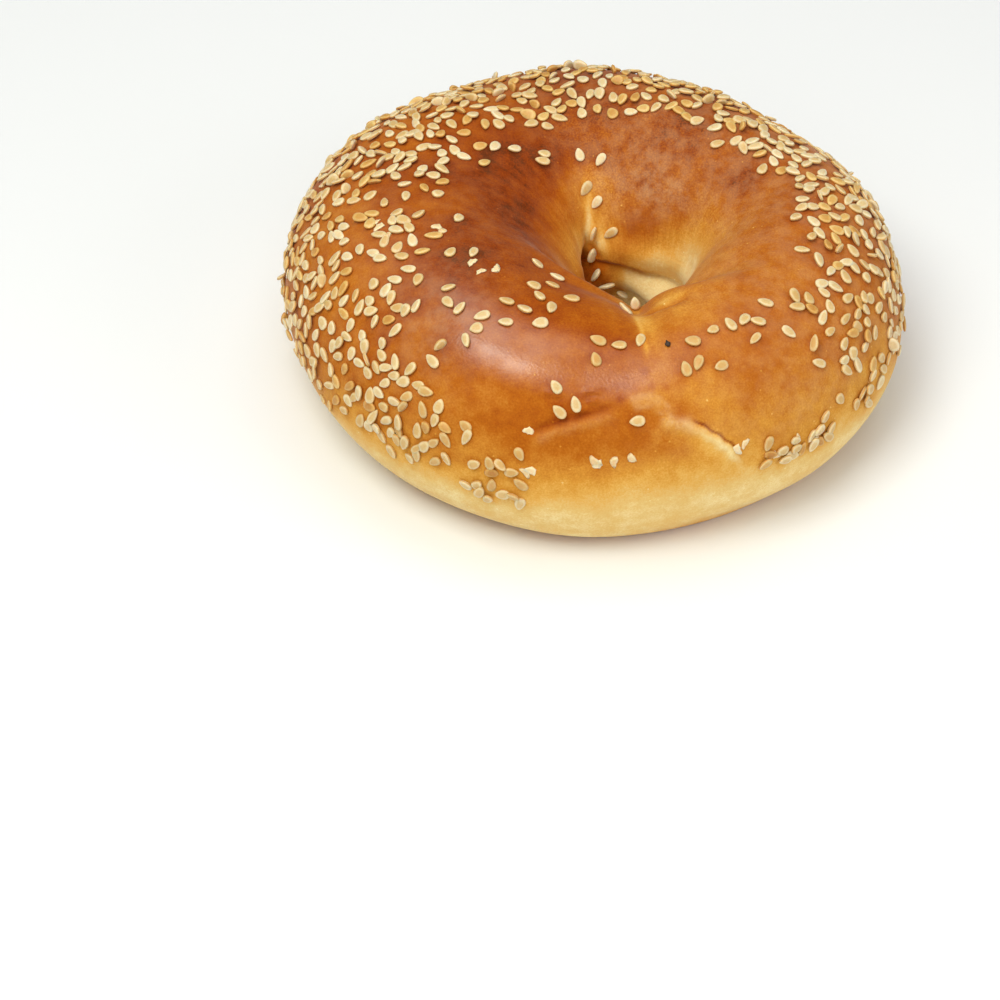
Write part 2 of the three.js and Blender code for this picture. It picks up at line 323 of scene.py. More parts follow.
def wrinkles(ring):
    """A raised strip on the near side, a groove above it, and short wrinkles above that."""
    strip, groove = beside_wrinkle(ring)
    relief = WRINKLE["strip"]["rise"] * strip - WRINKLE["groove"]["depth"] * groove
    for line in SMALL_WRINKLES:
        _, side, along = nearest_on_line(ring, line)
        crest = SMALL_WRINKLE["rise"] * ridge(side, SMALL_WRINKLE["width"])
        dip = SMALL_WRINKLE["groove"] * ridge(side + SMALL_WRINKLE["below"], SMALL_WRINKLE["width"])
        relief = relief + ends_fade(along, SMALL_WRINKLE["ends"]) * (crest - dip)
    return relief


def beside_crack(ring):
    """How far points are to the side of the crack's uneven line, how torn they are and how open it is."""
    distance, side, along = nearest_on_line(ring, CRACK["line"])
    torn = between(along, **CRACK["torn"]) * (distance < CRACK["reach"])
    opening = torn * between(along, **CRACK["open"])
    wavering = sum(np.sin(times * along + turn) for times, turn in CRACK["waves"])
    side = side + CRACK["waver"] * wavering
    return side * np.interp(along, (0, 1), CRACK["taper"]), torn, opening


def crack(ring):
    """A lip of torn dough, with a narrow open groove along its upper side."""
    side, torn, opening = beside_crack(ring)
    groove, lip = CRACK["groove"], CRACK["lip"]
    lip_rise = lip["rise"] * ridge(side - lip["at"], lip["width"])
    return torn * lip_rise - opening * groove["depth"] * ridge(side - groove["at"], groove["width"])


def below_lip(around, across):
    """How far below the edge of the throat's lip a place is."""
    edge = THROAT_LIP["edge"]
    return across - np.interp(around % 360, edge["around"], edge["across"])


def throat_lip(around, across):
    """A roll of crust round the throat, over a recessed wall with a swell of dough below it."""
    roll, recess, swell = THROAT_LIP["roll"], THROAT_LIP["recess"], THROAT_LIP["swell"]
    below = below_lip(around, across)
    rise = roll["rise"] * ridge(below + roll["above"], roll["width"])
    sink = recess["depth"] * between(below, recess["starts"], recess["ends"])
    sink = sink * np.interp(around % 360, recess["around"], recess["share"])
    swollen = hump(around, swell) * ridge(below - swell["below"], swell["spread"])
    return hump(around, THROAT_LIP) * (rise - sink + swell["rise"] * swollen)


def lumps(around, across):
    waves = sum(
        wave["rise"] * cos_deg(wave["around"] * around + wave["across"] * across + wave["turn"])
        for wave in LUMPS
    )
    return (1 - smoothstep(across, *LUMPS_END)) * waves


def crust_point(around, across):
    """Points of the finished crust. The folds fade out at the edges of the flat base."""
    ring = plain_ring(around, across)
    points, normals = ring
    folds = (far_fold, throat_ridges, near_notch, short_folds, wrinkles, crack)
    relief = sum(fold(ring) for fold in folds) + throat_lip(around, across) + lumps(around, across)
    return points + normals * (from_base(across) * relief)[..., None]


def crust_frame(around, across):
    """A point of the crust, the way round the ring and the outward normal."""
    point = crust_point(around, across)
    side = unit(crust_point(around + PROBE, across) - point)
    normal = unit(np.cross(side, crust_point(around, across + PROBE) - point))
    return point, side, normal


# Meshes and attributes
def link(name, data):
    made = bpy.data.objects.new(name, data)
    bpy.context.scene.collection.objects.link(made)
    return made


def make_piece(name, points, faces, material):
    """A smooth mesh piece from points in millimetres about the ring's middle."""
    mesh = bpy.data.meshes.new(name)
    mesh.from_pydata(((points + RING_MIDDLE) * MM).tolist(), [], faces.tolist())
    mesh.shade_smooth()
    mesh.materials.append(material)
    piece = link(name, mesh)
    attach(piece, "root")
    return piece


def set_attribute(piece, name, values):
    """A number, or a vector, at each point of a piece."""
    kind, field = ("FLOAT", "value") if values.ndim == 1 else ("FLOAT_VECTOR", "vector")
    attribute = piece.data.attributes.new(name, kind, "POINT")
    attribute.data.foreach_set(field, values.astype(np.float32).ravel())


def ring_faces(columns, rows):
    """Quads of a grid that closes on itself both ways."""
    column, row = np.meshgrid(np.arange(columns) * rows, np.arange(rows), indexing="ij")
    next_column = (column + rows) % (columns * rows)
    next_row = (row + 1) % rows
    corners = column + row, next_column + row, next_column + next_row, column + next_row
    return np.stack(corners, -1).reshape(-1, 4)


# How brown the crust is baked, from 0, pale dough, to 1, deep brown, with painted light and shade in places,
# as marked
BROWN_ROUND = {
    "around": (0, 40, 75, 110, 135, 165, 195, 220, 245, 268, 290, 315, 340),
    "level": (0.52, 0.66, 0.74, 0.76, 0.8, 0.82, 0.76, 0.72, 0.68, 0.58, 0.52, 0.53, 0.52),
}
PALE_LEVEL = 0.08
PALE_EDGE = {
    "around": (0, 60, 150, 190, 215, 235, 255, 290, 320, 345),
    "across": (0, -12, -16, -12, 2, 7, 9, 12, 8, 3),
}
PALE_FADE = (-24, 26)
THROAT_PALER = {"across": (120, 150, 168, 176), "less": (0, 0.08, 0.2, 0.3)}
# The throat's wall below the lip: pale dough on the right, while its darker levels from about 108 to 175
# around stand in for the shade on the left of the throat, which is painted shade
THROAT_WALL = {
    "around": (0, 40, 72, 98, 108, 122, 145, 175, 210, 290),
    "level": (0.1, 0.04, 0.03, 0.06, 0.28, 0.58, 0.68, 0.6, 0.4, 0.3),
    "starts": (-0.5, 2),
}
# Painted shade: a darker band just below the throat's lip, where the lip's shadow falls
UNDER_LIP_SHADE = {"at": 96, "width": 20, "below": 2.5, "spread": 2.6, "more": 0.34}
UNDERSIDE_LEVEL = 0.26
# Browner crust round each seed: partly glaze gathered there, partly painted contact shade
SEED_RING_GLAZE_AND_SHADE = {"reach": 1.9, "more": 0.12}
GLOSSY = {
    "at": 240, "width": 46, "least": 0.05,
    "browning_light_and_shade": (0.1, 0.45), "starts": (46, 64), "ends": (66, 92), "dulled_by_dust_and_sheen": 2,
}
# Dust and painted sheen: the pale veil round the ring stands in for the glaze's sheen, while the flap, the
# wrinkle's strip and the torn lip are dusty
DUST_AND_SHEEN = {
    "around": BROWN_ROUND["around"],
    "level": (0.08, 0.09, 0.08, 0.05, 0.01, 0.02, 0.03, 0.02, 0, 0, 0.02, 0.06, 0.07),
    "ends": (135, 160), "browning_light_and_shade": (0.2, 0.42),
    "flap": {"more": 0.1, "edge": (0.35, 0.7)}, "strip": 0.06,
    "lip": {"more": 0.26, "at": -0.9, "width": 1.1},
}
MOTTLED = {
    "around": (0, 30, 75, 108, 122, 160, 200),
    "times": (1.5, 1.8, 2.3, 2.2, 1.0, 0.75, 1.0),
    "starts": (84, 104), "ends": (136, 156),
}
STREAKED = {
    "around": (0, 60, 110, 150, 200, 250),
    "level": (0.2, 0.75, 0.7, 1, 0.45, 0.1),
    "starts": (90, 120), "ends": (162, 176), "least": 0.12,
}

# Stripes along the folds: how much browner, how far to the side and how wide, and where along they show
# The dark stripes in the mouth of the cleft and in the crack's groove are painted shade; the pale ones are
# bared dough
FOLD_STRIPES = {
    "mouth": (0.1, 0, 1.4), "seam": (-0.3, 0, 0.7),
    "notch": (-0.2, 0, 1.1),
    "tear": (-0.22, 0, 0.5), "beside_tear": (-0.22, 1.5, 2.0),
    "crack": (0.44, 0.35, 0.26),
    "lip": (-0.2, -1.1, 1.4), "below_lip": (-0.14, -2.8, 2.4),
    "leaf_crease": (0.12, 0, 0.7), "leaf": (-0.16, 2.2, 1.5),
}
MOUTH_ENDS = (0.16, 0.34)
SEAM_SHOWS = {"starts": (0.3, 0.4), "ends": (0.55, 0.75)}
NOTCH_SHOWS = {"starts": (0.2, 0.35), "ends": (0.7, 1)}
# Painted shade in the crevice beside the cleft
CREVICE_SHADE = 0.3
FLAP_MORE = -0.1
# The wrinkle's groove is darker, painted shade; its strip is paler
WRINKLE_SHADE_AND_TONE = {"groove": 0.13, "strip": -0.12}

# Browner and paler patches, each with its place around and across, its reach and how much browner it is
BROWN_AND_PAINTED_LIGHT_PATCHES = (
    # Outer side: far, left and right. The paler ones are partly painted light: they offset the shade between
    # the dense seeds and at the lower edge, and stand in for the sheen at the rim
    (150, 40, 16, -0.14), (130, 58, 12, -0.1), (141, 68, 12, -0.14), (116, 72, 8, -0.14), (76, 80, 9, -0.13),
    (185, 18, 15, -0.14), (204, 18, 14, -0.1), (180, 50, 18, -0.2), (203, 48, 9, -0.12), (224, 8, 12, -0.24),
    (240, 26, 12, -0.1), (242, 11, 10, -0.13), (319, 9, 8, -0.12), (333, 20, 9, -0.16), (322, 42, 3, 0.12),
    # Right side of the top
    (352, 72, 8, 0.07), (328, 78, 10, 0.03), (347, 96, 14, 0.09), (319, 98, 2.5, 0.14), (2, 106, 9, 0.16),
    # Far wall of the throat. Its paler patches low on the wall partly offset the shade there: painted light
    (102, 102, 9, 0.09), (54, 116, 11, 0.1), (25, 118, 4.5, 0.25), (5, 132, 12, -0.08), (93, 135, 8, -0.1),
    (59, 150, 6, 0.09), (20, 152, 10, -0.14), (40, 160, 7, 0.08), (82, 161, 6, 0.1), (28, 163, 6, -0.1),
    (10, 164, 4.5, -0.18), (42, 167, 8, -0.22), (76, 171, 4.5, -0.24),
    # Both sides of the far fold, paler: partly bared dough, partly painted light that offsets the shade of
    # the cleft
    (114, 134, 4.5, -0.24), (133, 136, 5, -0.16), (116, 149, 5, -0.2), (114, 158, 3.5, -0.14),
    (134, 160, 4, -0.24), (130, 163, 2.5, -0.18), (122, 163, 2, -0.16), (120.5, 174, 1.2, -0.2),
    # Slope left of the hole
    (216, 94, 12, 0.11), (180, 99, 6, -0.1), (205, 100, 9, 0.08), (165, 122, 14, 0.1), (150, 127, 6, 0.1),
    (151, 145, 7, -0.08), (186, 146, 4, -0.2), (154, 155, 7, -0.3),
    # Near side. The browner patch at 278 around is painted shade that damps the glaze's highlight
    (303, 100, 9, -0.1), (267, 94, 6, 0.13), (262, 84, 9, 0.06), (303, 72, 13, 0.08), (292, 70, 8, 0.12),
    (278, 57, 6, 0.11), (301.8, 51.3, 7, 0.09), (293, 45, 13, -0.19), (268, 34, 9, 0.08),
    (286.5, 34, 5, 0.28), (279.5, 30, 2.6, 0.09),
    # Scorched spots above the crack
    (280.5, 66, 0.9, 0.16), (282, 57, 0.8, 0.16), (285, 55, 0.8, 0.12), (275, 52.5, 0.7, 0.14),
)
# Painted sheen: pale patches where the glaze's sheen shows
SHEEN_PATCHES = ((64, 139, 5, 0.09), (93, 136, 8, 0.07), (229, 60, 11, 0.08))


def patches(points, places):
    """How much patches at these places add at points."""
    total = np.zeros(points.shape[:-1])
    for around, across, reach, more in places:
        centre = crust_point(*np.array([around, across], float))
        total = total + more * ridge(np.linalg.norm(points - centre, axis=-1), reach)
    return total


def stripe(side, name):
    """Browning in a stripe along a fold, most at one distance to the side of its line."""
    more, at, width = FOLD_STRIPES[name]
    return more * ridge(side - at, width)


def cleft_browning_and_shade(ring):
    """The far fold is dark in the mouth of its cleft and in the crevice beside it, which is painted shade,
    and pale along the seam above that.
    """
    distance, _, along = nearest_on_line(ring, FAR_FOLD["line"])
    mouth = stripe(distance, "mouth") * (1 - smoothstep(along, *MOUTH_ENDS))
    seam = stripe(distance, "seam") * between(along, **SEAM_SHOWS)
    return mouth + seam + CREVICE_SHADE * beside(CREVICE, ring)


def notch_browning(ring):
    """The near notch and the leaf right of it are pale, and so is a torn line down from the notch."""
    distance, _, along = nearest_on_line(ring, NEAR_NOTCH["line"])
    notch = stripe(distance, "notch") * between(along, **NOTCH_SHOWS)
    _, side, along = nearest_on_line(ring, NOTCH_TEAR["line"])
    bared = stripe(side, "tear") + stripe(side, "beside_tear") * smoothstep(along, *NOTCH_TEAR["widens"])
    _, side, fold_along = nearest_on_line(ring, RIGHT_FOLD["line"])
    leaf = (stripe(side, "leaf_crease") + stripe(side, "leaf")) * ends_fade(fold_along, RIGHT_FOLD["ends"])
    return notch + bared * ends_fade(along, NOTCH_TEAR["ends"]) + leaf


def crack_browning_and_shade(ring):
    """The crack is dark in its groove, which is painted shade, and pale on its lip, and the wrinkles beside
    it have a darker groove, also painted shade, and a paler strip.
    """
    side, torn, opening = beside_crack(ring)
    crack_tone = torn * (stripe(side, "lip") + stripe(side, "below_lip")) + opening * stripe(side, "crack")
    strip, groove = beside_wrinkle(ring)
    wrinkle = WRINKLE_SHADE_AND_TONE["groove"] * groove + WRINKLE_SHADE_AND_TONE["strip"] * strip
    return crack_tone + wrinkle + FLAP_MORE * beside(FLAP, ring)


def fold_browning_and_shade(around, across):
    """Browning along the folds: pale dough at torn edges, dark in the grooves, where the darkening in the
    cleft, the crevice, the crack and the wrinkle's groove is painted shade.
    """
    ring = plain_ring(around, across)
    return cleft_browning_and_shade(ring) + notch_browning(ring) + crack_browning_and_shade(ring)


# The browning level, with painted shade under the lip and on the throat's left wall, and painted light in
# some patches
def browning_light_and_shade(around, across, points):
    level = round_ring(around, BROWN_ROUND, "level")
    level = level + patches(points, BROWN_AND_PAINTED_LIGHT_PATCHES)
    edge = round_ring(around, PALE_EDGE, "across")
    level = PALE_LEVEL + (level - PALE_LEVEL) * smoothstep(across - edge, *PALE_FADE)
    level = level - np.interp(across, THROAT_PALER["across"], THROAT_PALER["less"])
    level = level + fold_browning_and_shade(around, across)
    # Below the lip the wall's own level takes over; its darker left part is painted shade
    wall = round_ring(around, THROAT_WALL, "level")
    below = below_lip(around, across)
    level = level + (wall - level) * smoothstep(below, *THROAT_WALL["starts"])
    # Painted shade below the lip
    shaded = ridge(below - UNDER_LIP_SHADE["below"], UNDER_LIP_SHADE["spread"])
    level = level + UNDER_LIP_SHADE["more"] * shaded * hump(around, UNDER_LIP_SHADE)
    level = UNDERSIDE_LEVEL + (level - UNDERSIDE_LEVEL) * from_base(across)
    return np.clip(level, 0, 1)


def dust_and_sheen(around, across, brown, crust):
    """How dull and dusty the crust is, from 0 to 1: the pale veil round the ring and in the sheen patches is
    painted sheen, and it is most on the torn lip and flap.
    """
    ring = plain_ring(around, across)
    level = round_ring(around, DUST_AND_SHEEN, "level")
    level = level * (1 - smoothstep(across, *DUST_AND_SHEEN["ends"])) * smoothstep(brown, *DUST_AND_SHEEN["browning_light_and_shade"])
    level = level + patches(crust, SHEEN_PATCHES)
    flap, lip = DUST_AND_SHEEN["flap"], DUST_AND_SHEEN["lip"]
    level = level + flap["more"] * smoothstep(beside(FLAP, ring), *flap["edge"])
    strip, _ = beside_wrinkle(ring)
    side, torn, _ = beside_crack(ring)
    return level + DUST_AND_SHEEN["strip"] * strip + lip["more"] * torn * ridge(side - lip["at"], lip["width"])


def gloss(around, across, brown):
    """How glossy the glaze left each place, from 0 to 1. The throat's wall has none."""
    brushed = GLOSSY["least"] + (1 - GLOSSY["least"]) * hump(around, GLOSSY)
    brushed = brushed * between(across, GLOSSY["starts"], GLOSSY["ends"])
    return brushed * smoothstep(brown, *GLOSSY["browning_light_and_shade"])


def streaks(around, across):
    """How streaked the crust is: most on the slopes left of the hole and beyond it."""
    level = round_ring(around, STREAKED, "level")
    slope = between(across, STREAKED["starts"], STREAKED["ends"])
    return STREAKED["least"] + (1 - STREAKED["least"]) * slope * level


def mottling(around, across):
    """How strong the fine mottling is: most on the far wall of the throat."""
    times = round_ring(around, MOTTLED, "times")
    return 1 + (times - 1) * between(across, MOTTLED["starts"], MOTTLED["ends"])


def knot_steps(counts, angles, last=0):
    """Angles of columns or rows from knot to knot."""
    return np.interp(np.arange(counts[-1] + last), counts, angles)


def seed_rings_glaze_and_shade(points, seeds):
    """How near points are to a seed, from 0 to 1: the crust is browner round the seeds, partly where the
    glaze gathers and partly as painted contact shade.
    """
    tree = KDTree(len(seeds))
    for index, seed in enumerate(seeds):
        tree.insert(seed, index)
    tree.balance()
    gaps = np.array([tree.find(point)[2] for point in points.reshape(-1, 3)])
    return ridge(gaps, SEED_RING_GLAZE_AND_SHADE["reach"]).reshape(points.shape[:-1])


def build_crust(material, seeds):
    around = knot_steps(**COLUMN_KNOTS)
    across = np.clip(knot_steps(**ROW_KNOTS, last=1), FIRST_ACROSS, LAST_ACROSS)
    columns, rows = np.meshgrid(around, across, indexing="ij")
    top = crust_point(columns, rows)
    share = np.arange(1, BASE_ROWS + 1) / (BASE_ROWS + 1)
    base = top[:, -1:] + (top[:, :1] - top[:, -1:]) * share[None, :, None]
    points = np.concatenate([top, base], 1)
    rows = np.concatenate([rows, np.broadcast_to(LAST_ACROSS, base.shape[:2])], 1)
    columns = np.broadcast_to(around[:, None], rows.shape)
    piece = make_piece("crust", points.reshape(-1, 3), ring_faces(*rows.shape), material)
    brown = browning_light_and_shade(columns, rows, points)
    dust_and_sheen_level = dust_and_sheen(columns, rows, brown, points)
    clean = 1 - np.clip(GLOSSY["dulled_by_dust_and_sheen"] * dust_and_sheen_level, 0, 1)
    attributes = {
        "browning_light_and_shade": brown + SEED_RING_GLAZE_AND_SHADE["more"] * seed_rings_glaze_and_shade(points, seeds),
        "gloss": gloss(columns, rows, brown) * clean,
        "dust_and_sheen": dust_and_sheen_level,
        "streaks": streaks(columns, rows),
        "mottling": mottling(columns, rows),
    }
    for name, values in attributes.items():
        set_attribute(piece, name, values.ravel())
    grain = np.stack([cos_deg(columns), sin_deg(columns), rows * GRAIN_STRETCH], -1)
    set_attribute(piece, "grain", grain.reshape(-1, 3))
    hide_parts("bagel")


# Sesame seeds: their size, form and spread, and how they lie
SEED = {"width": 1.95, "length": 3.02, "thickness": 0.86}
SEED_SPREAD = 0.09
SEED_FORM = {
    "half_width": 1.16, "tip": 0.75, "end": 0.5,
    "half_thickness": 0.8, "flat": 0.35, "square": 0.75,
    "hollow": {"depth": 0.24, "width": 0.5},
}
SEED_SEGMENTS = 10
SEED_RINGS = 8
SEED_SUNK = 0.14
SEED_TOUCHING = 2.3
SEED_LIFT = 0.45
SEED_TILT = {"roll": 9, "pitch": 6, "on_others": 8}
ON_EDGE = {"share": 0.04, "far_share": 0.1, "at": 110, "width": 60, "roll": (50, 80), "stand": 0.36}
TOASTED = {"at": 95, "width": 62, "most": 0.5, "least": 0.14}
DULLER = {"at": 275, "width": 55, "less": 0.65, "ends": (95, 125)}

# The seeds' band: where it starts and ends across the ring, and how thick the seeds lie
SEED_BAND = {
    "around": (0, 53, 100, 144, 182, 221, 238, 252, 259, 312, 322, 332, 344),
    "inner": (90, 104, 98, 104, 88, 64, 50, 34, 30, 66, 70, 74, 84),
    "fade": (7, 7, 6, 9, 22, 36, 34, 20, 10, 8, 9, 9, 7),
    "outer": (8, -3, -10, -10, -4, 4, 4, 3, 6, 4, 6, 8, 10),
    "share": (0.84, 1.4, 1.25, 1.02, 0.46, 0.41, 0.24, 0.08, 0, 0, 0.12, 0.42, 0.68),
}
OUTER_FADE = 14
THICKER_OUTSIDE = {"across": (15, 90), "times": (1.3, 0.8)}
BAND_ACROSS = (-30, 120)
BAND_TRIES = 16000
BAND_GAP = 1.95
CLUSTER_GAP = 1.4
CLUMPS = {"count": 110, "reach": 4.5, "least": 0.65}

# Seeds apart from the band, each at a place around and across, with its slant as seen from above
STRAY_SEEDS = (
    (128, 117, 0), (132, 120, 0), (112, 120, -65), (103, 124, 60),
    (117, 135, 75), (114, 142, 65), (110, 157, 45), (270, 126, -25),
    (221, 119, 0), (231, 124, -10), (236, 104, 0), (238, 114, 5), (242, 99, -50), (251, 108, 0),
    (249, 95, 80), (237, 86, -15), (243, 87, -30), (236, 73, 20), (242, 76, 0), (250, 83, 15),
    (267, 83, -15), (273, 82, 5), (279, 84, 75), (268, 72, -65),
    (293, 74, -5), (299, 76, 25), (304, 75, -50), (308, 74, 65), (311, 70, -5), (316, 76, -10),
    (308, 63, 55), (293, 62, 75), (298, 57, 30), (290, 61, -70), (322, 65, 15),
    (261, 54, -50), (266, 48, -70), (263, 43, -40), (279, 41, 10),
)
FOLD_SEEDS = ((128.2, 169, -72),)
EDGE_SEEDS = ((124.5, 156, 85), (128.8, 182, 85), (119, 189, 38), (100, 200, -38))
FOLD_LIFT = 0.4
# Painted light: the seeds in and about the throat take the palest tone, to offset the shade there
FOLD_TONE_PAINTED_LIGHT = 1.0
LEANING_SEED = (274.2, 140, 85)
LEANING = {"pitch": -98, "back": 1.2}
PLACED_SEEDS = (*STRAY_SEEDS, *FOLD_SEEDS, *EDGE_SEEDS, LEANING_SEED)
SEED_CLUSTERS = (
    {"around": (303, 319), "across": (1, 14), "count": 16},
    {"around": (226, 241), "across": (-4, 17), "count": 15},
    {"around": (246, 258), "across": (-7, 14), "count": 13},
)
CLUSTER_TRIES = 200
DRAW_SEED = 20


def seed_share(around, across):
    """How thick the seeds lie at a place."""
    rows = ("inner", "fade", "outer", "share")
    inner, fade, outer, share = (round_ring(around, SEED_BAND, row) for row in rows)
    inside = 1 - smoothstep(across, inner - fade, inner + fade)
    thicker = np.interp(across, THICKER_OUTSIDE["across"], THICKER_OUTSIDE["times"])
    return share * thicker * inside * smoothstep(across, outer - OUTER_FADE, outer + OUTER_FADE)


def clumping(draws, points):
    """How much likelier seeds are at points, as they fell in clumps."""
    around = draws.uniform(0, 360, CLUMPS["count"])
    centres = crust_point(around, draws.uniform(*BAND_ACROSS, CLUMPS["count"]))
    nearest = np.min(np.linalg.norm(points[:, None] - centres[None], axis=-1), axis=1)
    return CLUMPS["least"] + (1 - CLUMPS["least"]) * ridge(nearest, CLUMPS["reach"])


def seed_places(draws):
    """Where the seeds lie: placed ones and clusters first, then the band."""
    places = np.array(PLACED_SEEDS, float)[:, :2]
    points = crust_point(*places.T)

    def lay(spots, count, gap):
        nonlocal places, points
        full = len(places) + count
        for spot, point in zip(spots, crust_point(*spots.T)):
            if len(places) < full and np.min(np.linalg.norm(points - point, axis=1)) > gap:
                places = np.vstack([places, spot])
                points = np.vstack([points, point])

    for cluster in SEED_CLUSTERS:
        low, high = np.array([cluster["around"], cluster["across"]], float).T
        lay(draws.uniform(low, high, (CLUSTER_TRIES, 2)), cluster["count"], CLUSTER_GAP)
    around = draws.uniform(0, 360, BAND_TRIES)
    across = draws.uniform(*BAND_ACROSS, BAND_TRIES)
    stretch = np.linalg.norm(plain_normal(around, across), axis=-1)
    chance = seed_share(around, across) * stretch / stretch.max()
    kept = draws.random(BAND_TRIES) < chance * clumping(draws, crust_point(around, across))
    lay(np.stack([around, across], -1)[kept], BAND_TRIES, BAND_GAP)
    return places, points


def seed_shape():
    """A flat drop of width, length and thickness 1: points, faces, and how near its outline each point is."""
    ring, segment = np.meshgrid(np.arange(1, SEED_RINGS), np.arange(SEED_SEGMENTS), indexing="ij")
    share = (1 - np.cos(np.pi * ring / SEED_RINGS)) / 2
    turn = 2 * np.pi * segment / SEED_SEGMENTS
    half_width = SEED_FORM["half_width"] * share ** SEED_FORM["tip"] * (1 - share) ** SEED_FORM["end"]
    half_thickness = SEED_FORM["half_thickness"] * (share * (1 - share)) ** SEED_FORM["flat"]
    hollow = SEED_FORM["hollow"]
    half_thickness = half_thickness * (1 - hollow["depth"] * ridge(np.cos(turn), hollow["width"]))
    upright = np.sign(np.sin(turn)) * np.abs(np.sin(turn)) ** SEED_FORM["square"]
    body = np.stack([half_width * np.cos(turn), share - 0.5, half_thickness * upright], -1)
    points = np.concatenate([body.reshape(-1, 3), [[0, -0.5, 0], [0, 0.5, 0]]])
    rim = np.maximum(np.abs(np.cos(turn)), np.abs(2 * share - 1))
    count = share.size
    first = np.arange(count).reshape(-1, SEED_SEGMENTS)
    second = np.roll(first, -1, 1)
    tip, end = np.full((2, SEED_SEGMENTS), [[count], [count + 1]])
    faces = np.concatenate([np.stack(corners, -1).reshape(-1, 3) for corners in (
        (first[:-1], second[:-1], second[1:]),
        (first[:-1], second[1:], first[1:]),
        (second[0], first[0], tip),
        (first[-1], second[-1], end),
    )])
    return points, faces, np.append(rim.ravel(), [1, 1])


def turned(vectors, axes, angles):
    """Vectors turned about unit axes by angles in degrees."""
    cos, sin = cos_deg(angles)[:, None], sin_deg(angles)[:, None]
    along = np.einsum("ik,ik->i", vectors, axes)[:, None]
    return vectors * cos + np.cross(axes, vectors) * sin + axes * along * (1 - cos)


def join_seeds(name, centres, axes, sizes, tone, material, bumps=0, bend=0):
    """One piece of many seeds, from their centres, their axes and their sizes along these."""
    shape, faces, rim = seed_shape()
    waves = BUMP_WAVES["rim"] * rim + BUMP_WAVES["along"] * shape[:, 1]
    shapes = shape * (1 + bumps * np.sin(np.outer(1 + tone, waves)))[..., None]
    shapes[..., 0] += bend * shape[:, 1] ** 2 * sizes[:, 1:2] / sizes[:, :1]
    bodies = centres[:, None] + np.einsum("sk,svk,skx->svx", sizes, shapes, axes)
    starts = np.arange(len(centres))[:, None, None] * len(shape)
    piece = make_piece(name, bodies.reshape(-1, 3), (faces + starts).reshape(-1, 3), material)
    set_attribute(piece, "tone", np.repeat(tone, len(shape)))
    set_attribute(piece, "rim", np.tile(rim, len(centres)))


def build_seeds(draws, places, points, pale, toasted):
    """All whole seeds, as one piece of pale ones and one of toasted ones."""
    count, placed = len(places), len(PLACED_SEEDS)
    leaning = placed - 1
    in_fold = slice(len(STRAY_SEEDS), leaning)
    _, side, normal = crust_frame(*places.T)
    around, across = places[in_fold].T
    side[in_fold] = unit(plain_point(around + PROBE, across) - plain_point(around - PROBE, across))
    normal[in_fold] = unit(plain_normal(around, across))
    turn = draws.uniform(0, 360, count)
    turn[:placed] = [slant - place - 90 for place, _, slant in PLACED_SEEDS]
    along = turned(side, normal, turn)
    around, across = places.T
    edge_share = ON_EDGE["share"] + ON_EDGE["far_share"] * hump(around, ON_EDGE)
    on_edge = draws.random(count) < edge_share
    on_edge[:placed] = False
    on_edge[leaning - len(EDGE_SEEDS):leaning] = True
    edge_roll = draws.uniform(*ON_EDGE["roll"], count)
    roll = np.where(on_edge, edge_roll, draws.normal(0, SEED_TILT["roll"], count))
    gaps = np.linalg.norm(points[:, None] - points[None], axis=-1)
    on_others = np.tril(gaps < SEED_TOUCHING, -1).any(1)
    lift = np.where(on_others, SEED_LIFT * draws.random(count), 0)
    pitch = draws.normal(0, SEED_TILT["pitch"], count) + np.where(on_others, SEED_TILT["on_others"], 0)
    roll[leaning] = 0
    pitch[leaning] = LEANING["pitch"]
    lift[in_fold] = FOLD_LIFT
    wide = turned(np.cross(along, normal), along, roll)
    up = turned(turned(normal, along, roll), wide, pitch)
    along = turned(along, wide, pitch)
    sizes = np.array(list(SEED.values())) * (1 + SEED_SPREAD * draws.standard_normal((count, 3)))
    stand = np.where(on_edge, ON_EDGE["stand"] * sizes[:, 0], sizes[:, 2] / 2) - SEED_SUNK + lift
    centres = points + normal * stand[:, None]
    centres[leaning] -= LEANING["back"] * along[leaning]
    axes = np.stack([wide, along, up], 1)
    duller = hump(around, DULLER) * (1 - smoothstep(across, *DULLER["ends"]))
    tone = draws.random(count) - DULLER["less"] * duller
    # Painted light: the seeds in and about the throat take the palest tone
    tone[len(STRAY_SEEDS):placed] = FOLD_TONE_PAINTED_LIGHT
    far = hump(around, TOASTED)
    browned = draws.random(count) < TOASTED["least"] + (TOASTED["most"] - TOASTED["least"]) * far
    browned[:placed] = False
    for name, chosen, material in (("seeds_pale", ~browned, pale), ("seeds_toasted", browned, toasted)):
        join_seeds(name, centres[chosen], axes[chosen], sizes[chosen], tone[chosen], material)


# Places of bits of broken seed, and one burnt crumb
BITS = (
    (163.8, 39.3), (188, 67.6), (190, 68.5), (194.5, 70), (195.8, 88.8), (198.2, 89.8),
    (217.2, 90.2), (222, 90.2), (223.2, 97), (257.8, 31.6), (258.5, 12.3), (259.5, 13.5),
    (271.2, 20.5), (272, 19.3), (274.8, 20.5), (278.2, 21.9), (298.2, 16.2), (299.8, 18.1),
    (306, 6), (311, 9), (315, 4),
)
BIT_SMALLEST = (1.0, 1.6, 0.42)
BIT_LARGEST = (1.6, 2.6, 0.6)
BIT_BUMPS = 0.16
BUMP_WAVES = {"rim": 40, "along": 9}
BIT_BEND = 0.7
CRUMB = {"at": (286.5, 77.3), "size": (1.0, 1.3, 0.8)}


